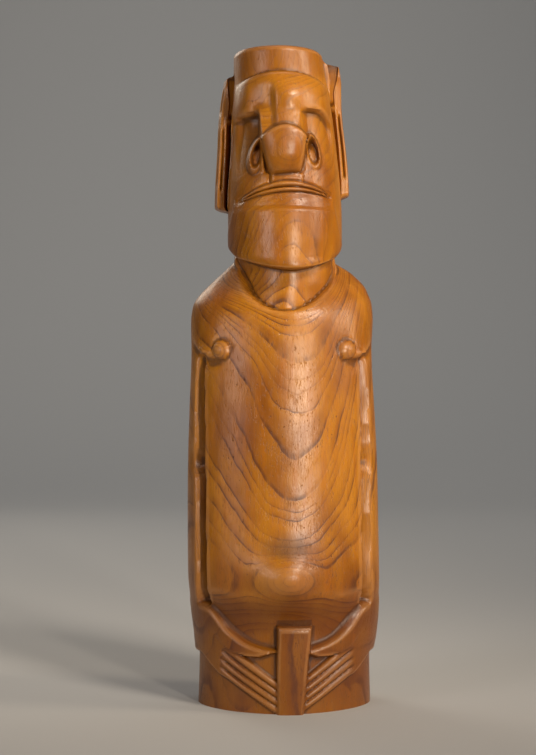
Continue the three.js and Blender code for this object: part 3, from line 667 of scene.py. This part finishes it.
class Shader:
    """Adds nodes to a material's tree."""

    def __init__(self, tree):
        self.tree = tree

    def node(self, kind, settings=None, inputs=None):
        node = self.tree.nodes.new(kind)
        for name, value in (settings or {}).items():
            setattr(node, name, value)
        for key, value in (inputs or {}).items():
            if isinstance(value, Value):
                self.tree.links.new(value.socket, node.inputs[key])
            else:
                node.inputs[key].default_value = value
        return Outputs(self.tree, node)

    def noise(self, place, scale, detail=2.0, roughness=0.5, distortion=0.0):
        inputs = {"Vector": place, "Scale": scale, "Detail": detail, "Roughness": roughness}
        inputs["Distortion"] = distortion
        return self.node("ShaderNodeTexNoise", {"noise_dimensions": "3D"}, inputs)

    def stretched(self, place, x, y, z):
        inputs = {"Vector": place, "Scale": (x, y, z)}
        return self.node("ShaderNodeMapping", {"vector_type": "POINT"}, inputs)[0]

    def band(self, value, start, end):
        """0 below start, 1 above end, smooth between; start may be the larger."""
        inputs = {"Value": value, "From Min": min(start, end), "From Max": max(start, end)}
        inputs["To Min"], inputs["To Max"] = (0.0, 1.0) if start < end else (1.0, 0.0)
        return self.node("ShaderNodeMapRange", {"interpolation_type": "SMOOTHSTEP"}, inputs)[0]

    def blend(self, amount, first, second, mode="MIX"):
        settings = {"data_type": "RGBA", "blend_type": mode, "clamp_factor": True}
        return self.node("ShaderNodeMix", settings, {0: amount, 6: first, 7: second})[2]


def rgba(colour):
    return (*colour[:3], 1.0)


def carved_wood(look):
    """Ring-porous hardwood that runs through the block, under a hand-rubbed oil finish."""
    material = bpy.data.materials.new("carved_wood")
    material.use_nodes = True
    tree = material.node_tree
    tree.nodes.clear()
    wood = Shader(tree)
    place = wood.node("ShaderNodeTexCoord")["Object"]
    mm = wood.node("ShaderNodeVectorMath", {"operation": "SCALE"}, {0: place, 3: 1 / MM})[0]

    # The trunk's wander: a slow drift and a close ripple push the rings about.
    drift = wood.noise(wood.stretched(mm, 1, 1, 0.5), 0.011, 1.5, 0.4)["Color"]
    ripple = wood.noise(wood.stretched(mm, 1, 1, 0.8), 0.06, 2.0, 0.5)["Color"]
    parts = wood.node("ShaderNodeSeparateXYZ", None, {0: mm})
    pushed = wood.node("ShaderNodeSeparateXYZ", None, {0: drift})
    rippled = wood.node("ShaderNodeSeparateXYZ", None, {0: ripple})
    x = parts["X"] - look.pith[0] + parts["Z"] * look.pith_lean[0]
    y = parts["Y"] - look.pith[1] + parts["Z"] * look.pith_lean[1]
    x = x + (pushed["X"] - 0.5) * look.drift + (rippled["X"] - 0.5) * look.ripple
    y = y + (pushed["Y"] - 0.5) * look.drift + (rippled["Y"] - 0.5) * look.ripple
    from_pith = (x * x + y * y).root()

    # Ring boundaries are unevenly spaced; dark late wood rises to each one and stops short.
    pace_inputs = {"W": from_pith * 0.16, "Scale": 1.0, "Detail": 2.0, "Roughness": 0.6}
    pace = wood.node("ShaderNodeTexNoise", {"noise_dimensions": "1D"}, pace_inputs)[0]
    phase = (from_pith / look.ring_width + pace * 3.4).fraction()
    late = wood.band(phase, 0.25, 0.95) * wood.band(phase, 1.0, 0.96)
    line = wood.band(phase, 0.80, 0.94) * wood.band(phase, 1.0, 0.96)
    early = wood.band(phase, 0.42, 0.05)

    # Open pores: short dark streaks along the grain, dots on end grain, crowded in the early wood.
    pore_noise = wood.noise(wood.stretched(mm, 1, 1, 0.16), 1.7, 2.0, 0.6)[0]
    pores = wood.band(pore_noise + early * 0.07, 0.62, 0.72)
    fibre = wood.noise(wood.stretched(mm, 1, 1, 0.03), 2.6, 3.0, 0.65)[0]
    streak = wood.noise(wood.stretched(mm, 1, 1, 0.07), 0.30, 3.0, 0.6, 0.4)[0]
    cloud = wood.noise(wood.stretched(mm, 1, 1, 0.5), 0.022, 3.0, 0.6)[0]
    patchy = wood.noise(wood.stretched(mm, 1, 1, 0.5), 0.05, 3.0, 0.6)[0]
    dashes = wood.noise(wood.stretched(mm, 1, 1, 0.15), 0.9, 2.0, 0.6)[0]
    pit_noise = wood.noise(wood.stretched(mm, 1, 1, 0.6), 0.55, 2.0, 0.5)[0]
    pits = wood.band(pit_noise, 0.69, 0.74) * wood.band(patchy, 0.46, 0.56)

    # Colour.
    base = wood.blend(wood.band(cloud, 0.38, 0.68), rgba(look.honey), rgba(look.brown))
    base = wood.blend(wood.band(streak, 0.42, 0.72) * 0.55, base, rgba(look.amber))
    base = wood.blend(wood.band(fibre, 0.35, 0.75) * 0.40, base, rgba(look.brown))
    showing = wood.band(patchy, 0.34, 0.64) * (wood.band(parts["Z"], 300, 262) * 0.6 + 0.4)
    base = wood.blend(late * (showing * 0.45 + 0.08), base, rgba(look.late_wood))
    broken = wood.band(dashes + showing * 0.25, 0.42, 0.75)
    drawn = line * (broken * 0.75 + 0.12) * (showing * 0.7 + 0.3)
    base = wood.blend(drawn * look.line_strength, base, rgba(look.line))
    base = wood.blend(pores * (showing * 0.3 + 0.2), base, rgba(look.line))
    base = wood.blend(pits * 0.7, base, rgba(look.line))

    # Painted shade: darker towards the foot, in the belly's shadow over the fold and on the less-lit crown
    # band.
    foot = wood.band(parts["Z"] + (cloud - 0.5) * 40, 100, 35)
    base = wood.blend(foot * 0.55, base, rgba(look.foot))
    # painted shadow of the belly, on the fold above the hands
    fold = wood.band(parts["Z"], 72, 62) * wood.band(parts["Z"], 42, 54)
    base = wood.blend(fold * wood.band(parts["Y"], 0, -20) * 0.5, base, rgba(look.foot))
    # painted shade on the crown's band
    crown = wood.band(parts["Z"], 381, 386)
    base = wood.blend(crown * 0.5, base, rgba(look.brown))

    # Hollows keep old polish and dirt, darkened further as painted shade where shade falls; ridges are
    # rubbed bare.
    marks = {"attribute_name": "hollow", "attribute_type": "GEOMETRY"}
    hollow = wood.node("ShaderNodeAttribute", marks)["Fac"]
    grime_and_shade = wood.band(hollow, 0.06, 0.75)
    worn = wood.band(hollow, -0.12, -0.85)
    base = wood.blend(grime_and_shade * 0.55, base, rgba(look.grime_and_shade))
    base = wood.blend(worn * 0.22, base, rgba(look.worn))

    # Finish.
    rubbed = wood.noise(mm, 0.045, 3.0, 0.55)[0]
    sheen_wear = (rubbed - 0.5) * 0.16 + (fibre - 0.5) * 0.24
    roughness = sheen_wear + look.roughness + pores * 0.22 + pits * 0.3 + line * 0.07 + grime_and_shade * 0.12
    tool_marks = wood.noise(wood.stretched(mm, 1, 1, 0.6), 0.085, 1.0, 0.4)[0]
    dimples = wood.noise(wood.stretched(mm, 1, 1, 0.45), 0.22, 2.0, 0.5)[0]
    height = tool_marks * 0.70 + dimples * 0.20 - pores * 0.16 - pits * 0.35 - line * 0.03 + fibre * 0.10
    bump_inputs = {"Strength": 0.55, "Distance": MM, "Height": height}
    bump = wood.node("ShaderNodeBump", None, bump_inputs)["Normal"]
    shader_inputs = {
        "Base Color": base,
        "Roughness": roughness.at_least(0.18).at_most(0.85),
        "Normal": bump,
        "IOR": 1.5,
    }
    surface_out = wood.node("ShaderNodeBsdfPrincipled", None, shader_inputs)["BSDF"]
    wood.node("ShaderNodeOutputMaterial", None, {"Surface": surface_out})
    return material


def studio_paper(colour):
    material = bpy.data.materials.new("studio_paper")
    material.use_nodes = True
    shader = material.node_tree.nodes["Principled BSDF"]
    shader.inputs["Base Color"].default_value = rgba(colour)
    shader.inputs["Roughness"].default_value = 0.9
    return material


# ---------- Settings ----------
KEY_COLOUR = (1.0, 0.88, 0.73)
WARM_COLOUR = (1.0, 0.84, 0.64)
COOL_COLOUR = (1.0, 0.93, 0.90)
PLAIN_COLOUR = (1.0, 0.98, 0.95)


class MoaiCarving(bpy.types.PropertyGroup):
    """How finely the skin is cut."""

    front_columns: IntProperty(
        name="Front columns", description="Squares from the middle of the front to each ear", default=75,
        min=16, max=80)
    ear_columns: IntProperty(
        name="Ear columns", description="Squares across the fold of each ear", default=48, min=16, max=64)
    back_columns: IntProperty(
        name="Back columns", description="Squares from each ear to the middle of the back", default=25,
        min=8, max=64)
    rows: IntProperty(
        name="Rows", description="Squares from foot to crown", default=334, min=80, max=340)


class MoaiWood(bpy.types.PropertyGroup):
    """Colours of the wood, and how its rings run."""

    honey: FloatVectorProperty(
        name="Honey", description="Lightest ground of the wood", subtype="COLOR",
        default=(0.46, 0.176, 0.008), min=0, max=1)
    amber: FloatVectorProperty(
        name="Amber", description="Warm streaks along the grain", subtype="COLOR",
        default=(0.40, 0.120, 0.003), min=0, max=1)
    brown: FloatVectorProperty(
        name="Brown", description="Duller ground between the streaks", subtype="COLOR",
        default=(0.23, 0.068, 0.003), min=0, max=1)
    late_wood: FloatVectorProperty(
        name="Late wood", description="Denser wood at the end of each ring", subtype="COLOR",
        default=(0.16, 0.040, 0.003), min=0, max=1)
    line: FloatVectorProperty(
        name="Ring line", description="Dark line and pores at each ring", subtype="COLOR",
        default=(0.060, 0.014, 0.003), min=0, max=1)
    # Grime: old polish in the hollows and their painted shade.
    grime_and_shade: FloatVectorProperty(
        name="Grime", description="Old polish in the hollows", subtype="COLOR",
        default=(0.030, 0.009, 0.003), min=0, max=1)
    # Foot: the colour of painted shade low on the figure and under the belly, not of polish.
    foot: FloatVectorProperty(
        name="Foot", description="Darker polish round the foot and under the belly", subtype="COLOR",
        default=(0.10, 0.022, 0.001), min=0, max=1)
    worn: FloatVectorProperty(
        name="Worn", description="Wood rubbed bare on the ridges", subtype="COLOR",
        default=(0.62, 0.30, 0.11), min=0, max=1)
    line_strength: FloatProperty(
        name="Line strength", description="How dark the ring lines are", default=0.85, min=0, max=1,
        subtype="FACTOR")
    roughness: FloatProperty(
        name="Roughness", description="Of the rubbed oil finish", default=0.32, min=0, max=1,
        subtype="FACTOR")
    ring_width: FloatProperty(
        name="Ring width", description="Mean width of a growth ring, in mm", default=1.45, min=0.5, max=10)
    drift: FloatProperty(
        name="Drift", description="How far the rings wander, in mm", default=13.0, min=0, max=60)
    ripple: FloatProperty(
        name="Ripple", description="How far the rings waver, in mm", default=0.9, min=0, max=10)
    pith: FloatVectorProperty(
        name="Pith", description="Where the trunk's middle meets the floor, in mm", size=2,
        default=(1.0, 14.0))
    pith_lean: FloatVectorProperty(
        name="Pith lean", description="Sideways and backwards lean of the trunk, mm per mm", size=2,
        default=(0.02, 0.07))


class MoaiStudio(bpy.types.PropertyGroup):
    """The camera and the lights."""

    camera_distance: FloatProperty(
        name="Camera distance", description="From the figure's axis", default=1.0, min=0.3, unit="LENGTH")
    camera_turn: FloatProperty(
        name="Camera turn", description="Camera's place round the figure, from the front",
        default=math.radians(-2.3), subtype="ANGLE")
    camera_aside: FloatProperty(
        name="Camera aside", description="How far the view passes beside the axis", default=-0.0099,
        unit="LENGTH")
    lens: FloatProperty(
        name="Lens", description="Focal length in mm on a 36 mm sensor", default=76.9, min=10)
    paper: FloatVectorProperty(
        name="Paper", description="Colour of the floor and backdrop", subtype="COLOR",
        default=(0.48, 0.475, 0.465), min=0, max=1)
    key_power: FloatProperty(
        name="Key power", description="Soft light high on the right", default=0.8, min=0,
        unit="POWER")
    strip_power: FloatProperty(
        name="Strip power", description="Narrow upright light that streaks the torso", default=1.25, min=0,
        unit="POWER")
    side_power: FloatProperty(
        name="Side power", description="Warmer soft light further round to the right", default=0.6, min=0,
        unit="POWER")
    fill_power: FloatProperty(
        name="Fill power", description="Weak wide light on the left", default=0.5, min=0,
        unit="POWER")
    back_power: FloatProperty(
        name="Back power", description="Soft light behind the figure", default=3.0, min=0,
        unit="POWER")
    wall_power: FloatProperty(
        name="Wall power", description="Light over the backdrop", default=14.0, min=0,
        unit="POWER")
    air: FloatProperty(
        name="Air", description="Strength of the even light all round", default=0.06, min=0)


# ---------- Operators ----------
class MOAI_OT_carve(bpy.types.Operator):
    """Carve the figure and give it its wood"""

    bl_idname = "moai.carve"
    bl_label = "Carve Figure"

    def execute(self, context):
        cut = context.scene.moai_carving
        figure = carve_figure(cut.front_columns, cut.ear_columns, cut.back_columns, cut.rows)
        figure.data.materials.clear()
        figure.data.materials.append(carved_wood(context.scene.moai_wood))
        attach(figure, "root")
        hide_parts(NODE)
        return {"FINISHED"}


class MOAI_OT_stage(bpy.types.Operator):
    """Set up the paper sweep, the lights and the camera"""

    bl_idname = "moai.stage"
    bl_label = "Set Up Studio"

    def execute(self, context):
        studio = context.scene.moai_studio
        self.lay_paper(studio)
        chest = Vector((0, 0, 0.28))
        wall = Vector((0, 2.2, 0.5))
        lights = (
            ("key_light", (0.70, -0.95, 1.12), chest, (0.30, 0.30), studio.key_power, KEY_COLOUR, 40),
            ("strip_light", (0.42, -1.15, 0.30), chest, (0.08, 0.40), studio.strip_power, KEY_COLOUR, 64),
            ("side_light", (1.15, -0.35, 0.75), chest, (0.30, 0.80), studio.side_power, WARM_COLOUR, 40),
            ("fill_light", (-1.10, -0.80, 0.50), chest, (0.50, 0.70), studio.fill_power, COOL_COLOUR, 50),
            ("back_light", (-0.80, 1.25, 1.05), chest, (0.60, 0.60), studio.back_power, KEY_COLOUR, 140),
            ("wall_light", (0, 0.5, 2.2), wall, (1.60, 0.60), studio.wall_power, PLAIN_COLOUR, 140),
        )
        for name, place, aim, size, power, colour, spread in lights:
            self.hang_light(name, place, aim, size, power, colour, spread)
        self.set_air(context.scene, studio.air)
        self.place_camera(context.scene, studio)
        return {"FINISHED"}

    def lay_paper(self, studio):
        nothing_selected()
        bpy.ops.mesh.primitive_plane_add(size=1)
        paper = bpy.context.object
        paper.name = "studio_sweep"
        bpy.ops.object.mode_set(mode="EDIT")
        bpy.ops.transform.resize(value=(40, 24, 1))
        bpy.ops.transform.translate(value=(0, -9.4, 0))
        bpy.ops.mesh.select_all(action="DESELECT")
        bpy.ops.mesh.select_mode(type="EDGE")
        bpy.ops.object.mode_set(mode="OBJECT")
        back = max(vertex.co.y for vertex in paper.data.vertices)
        for edge in paper.data.edges:
            edge.select = all(paper.data.vertices[i].co.y > back - 0.01 for i in edge.vertices)
        bpy.ops.object.mode_set(mode="EDIT")
        bpy.ops.mesh.extrude_region_move(TRANSFORM_OT_translate={"value": (0, 0, 3.6)})
        bpy.ops.object.mode_set(mode="OBJECT")
        bend = paper.modifiers.new("bend", "BEVEL")
        bend.width = 1.1
        bend.segments = 16
        bend.limit_method = "ANGLE"
        bpy.ops.object.modifier_apply(modifier="bend")
        bpy.ops.object.shade_smooth()
        paper.data.materials.append(studio_paper(studio.paper))

    def hang_light(self, name, place, aim, size, power, colour, spread):
        nothing_selected()
        bpy.ops.object.light_add(type="AREA", location=place)
        lamp = bpy.context.object
        lamp.name = name
        lamp.data.shape = "RECTANGLE"
        lamp.data.size, lamp.data.size_y = size
        lamp.data.energy = power
        lamp.data.color = colour
        lamp.data.spread = math.radians(spread)
        lamp.rotation_euler = (aim - Vector(place)).to_track_quat("-Z", "Y").to_euler()

    def set_air(self, scene, strength):
        world = bpy.data.worlds.new("studio_air")
        world.use_nodes = True
        background = world.node_tree.nodes["Background"]
        background.inputs["Color"].default_value = (0.93, 0.95, 1.0, 1.0)
        background.inputs["Strength"].default_value = strength
        scene.world = world
        scene.view_settings.view_transform = "Standard"

    def place_camera(self, scene, studio):
        turn = studio.camera_turn
        away = Vector((math.sin(turn), -math.cos(turn), 0))
        right = Vector((math.cos(turn), math.sin(turn), 0))
        middle = Vector((0, 0, (LOW.z + HIGH.z) / 2))
        nothing_selected()
        place = middle + away * studio.camera_distance + right * studio.camera_aside
        bpy.ops.object.camera_add(location=place)
        camera = bpy.context.object
        camera.name = "studio_camera"
        camera.rotation_euler = (-away).to_track_quat("-Z", "Y").to_euler()
        camera.data.lens = studio.lens
        camera.data.sensor_fit = "AUTO"
        camera.data.sensor_width = 36
        scene.camera = camera


class MOAI_PT_panel(bpy.types.Panel):
    """Lists the steps and their settings"""

    bl_idname = "MOAI_PT_panel"
    bl_label = "Carved Moai Figure"
    bl_space_type = "VIEW_3D"
    bl_region_type = "UI"
    bl_category = "Moai"

    def draw(self, context):
        scene = context.scene
        for operator, settings in (("moai.carve", (scene.moai_carving, scene.moai_wood)),
                                   ("moai.stage", (scene.moai_studio,))):
            self.layout.operator(operator)
            for group in settings:
                box = self.layout.box()
                for name in group.__annotations__:
                    box.prop(group, name)


CLASSES = (MoaiCarving, MoaiWood, MoaiStudio, MOAI_OT_carve, MOAI_OT_stage, MOAI_PT_panel)


def register():
    for cls in CLASSES:
        bpy.utils.register_class(cls)
    bpy.types.Scene.moai_carving = PointerProperty(type=MoaiCarving)
    bpy.types.Scene.moai_wood = PointerProperty(type=MoaiWood)
    bpy.types.Scene.moai_studio = PointerProperty(type=MoaiStudio)


def unregister():
    del bpy.types.Scene.moai_studio
    del bpy.types.Scene.moai_wood
    del bpy.types.Scene.moai_carving
    for cls in reversed(CLASSES):
        bpy.utils.unregister_class(cls)


def main():
    register()
    bpy.ops.moai.carve()
    bpy.ops.moai.stage()


if __name__ == "__main__":
    main()
